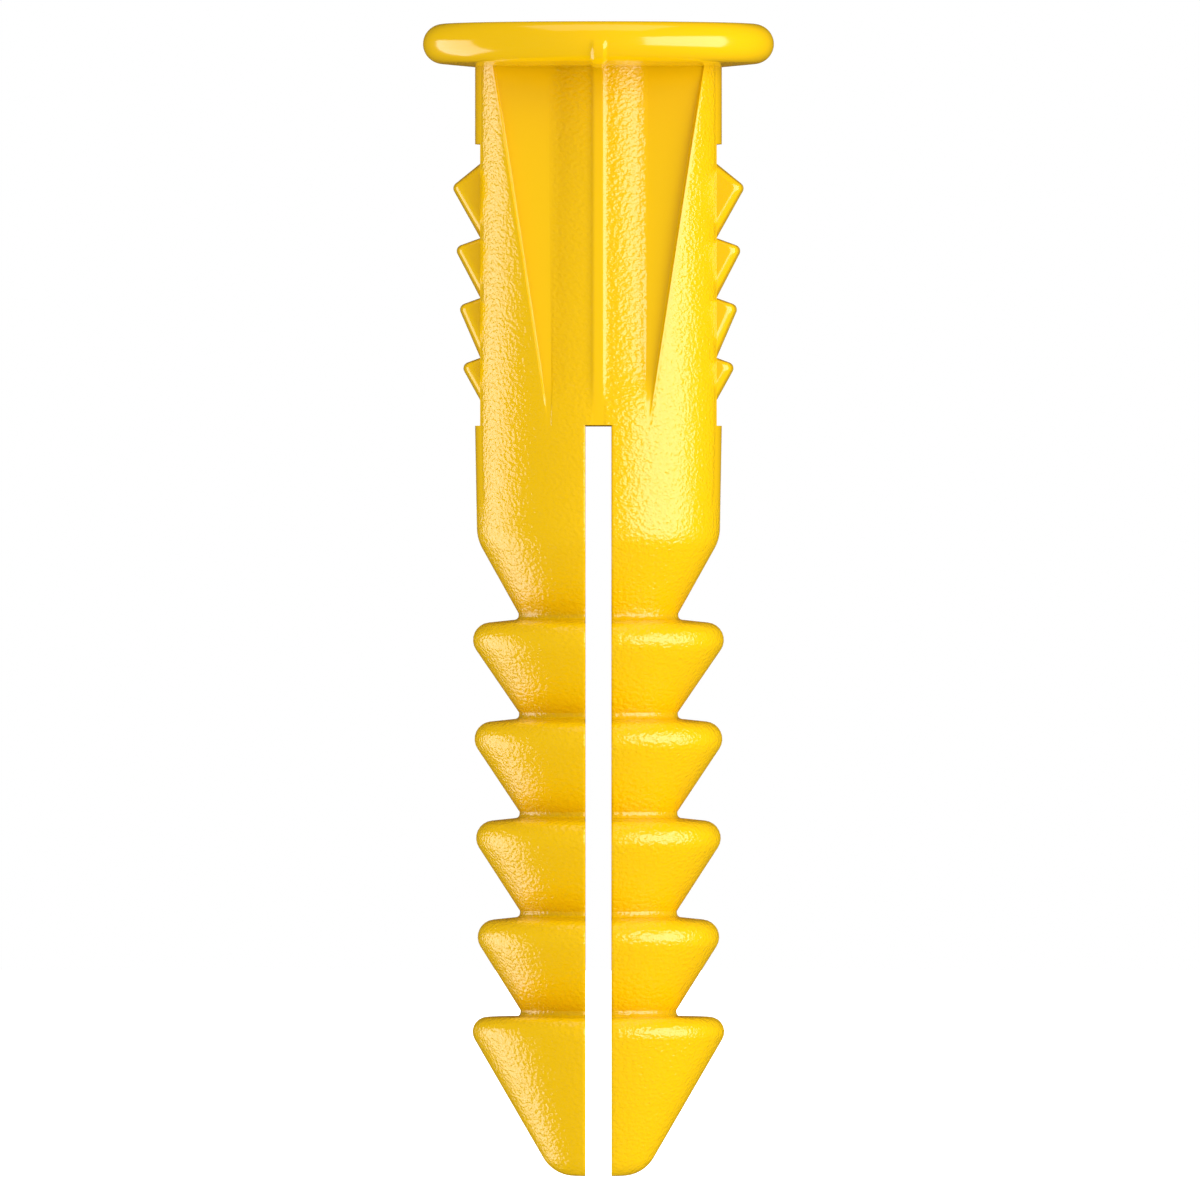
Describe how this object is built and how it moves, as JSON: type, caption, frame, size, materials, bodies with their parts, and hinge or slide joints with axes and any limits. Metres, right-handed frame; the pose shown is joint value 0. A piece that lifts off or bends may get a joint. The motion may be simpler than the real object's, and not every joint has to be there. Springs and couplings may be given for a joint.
{
  "type": "plastic wall anchor",
  "caption": "Ribbed plastic wall anchor with a round head, a tapered and toothed sleeve, and two barbed legs parted by a slot that spread when a screw is driven in.",
  "frame": {"origin": "on the screw's axis, in the plane of the wall's surface, where the head's underside meets the sleeve", "axes": "+Z points out of the wall along the screw hole, towards the head; +X runs across the slot towards the right leg; -Y is the front"},
  "size_m": [0.0068, 0.0068, 0.0222],
  "materials": {
    "moulding": "yellow moulded polyethylene with a fine spark-eroded texture"
  },
  "bodies": {
    "sleeve": {"flange": "moulding", "sleeve": "moulding", "left_rib": "moulding", "right_rib": "moulding"},
    "left_leg": {"left_leg": "moulding"},
    "right_leg": {"right_leg": "moulding"}
  },
  "joints": [
    {"name": "left_leg_flex", "type": "hinge", "parent": "sleeve", "child": "left_leg", "pos_m": [-0.00238, 0, -0.00692], "axis": [0, 1, 0], "range_deg": [-0.9, 5], "stiffness_Nm_per_rad": 0.18},
    {"name": "right_leg_flex", "type": "hinge", "parent": "sleeve", "child": "right_leg", "pos_m": [0.00238, 0, -0.00692], "axis": [0, -1, 0], "range_deg": [-0.9, 5], "stiffness_Nm_per_rad": 0.18}
  ]
}
